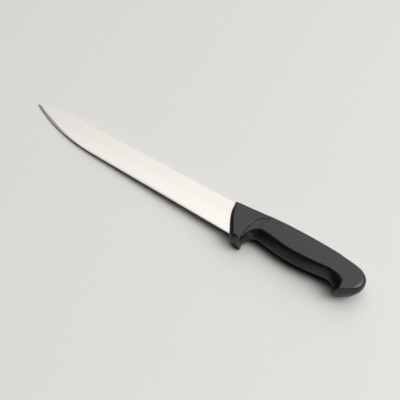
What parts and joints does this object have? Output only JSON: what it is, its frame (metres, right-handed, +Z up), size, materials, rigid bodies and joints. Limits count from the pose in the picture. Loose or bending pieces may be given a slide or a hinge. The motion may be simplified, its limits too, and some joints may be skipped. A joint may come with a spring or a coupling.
{
  "type": "carving knife",
  "caption": "Carving knife with a long plain steel blade and a hooked black moulded handle, lying on its side; slices roast meat by hand.",
  "frame": {"origin": "Under the middle of the knife's bounding box, on the plane that its lower flank lies on.", "axes": "The knife lies on its side. +X runs to the butt of the handle and -X to the tip, +Y to the spine and -Y to the cutting edge, and +Z is up, square to the blade's flat."},
  "size_m": [0.3406, 0.0375, 0.0182],
  "materials": {
    "blade": "satin ground stainless steel, brighter along the fine cutting bevel",
    "handle_core": "black moulded plastic with a fine matt grain",
    "grip": "black moulded plastic with a fine matt grain"
  },
  "bodies": {
    "root": {"blade": "blade", "handle_core": "handle_core", "grip": "grip"}
  },
  "joints": []
}
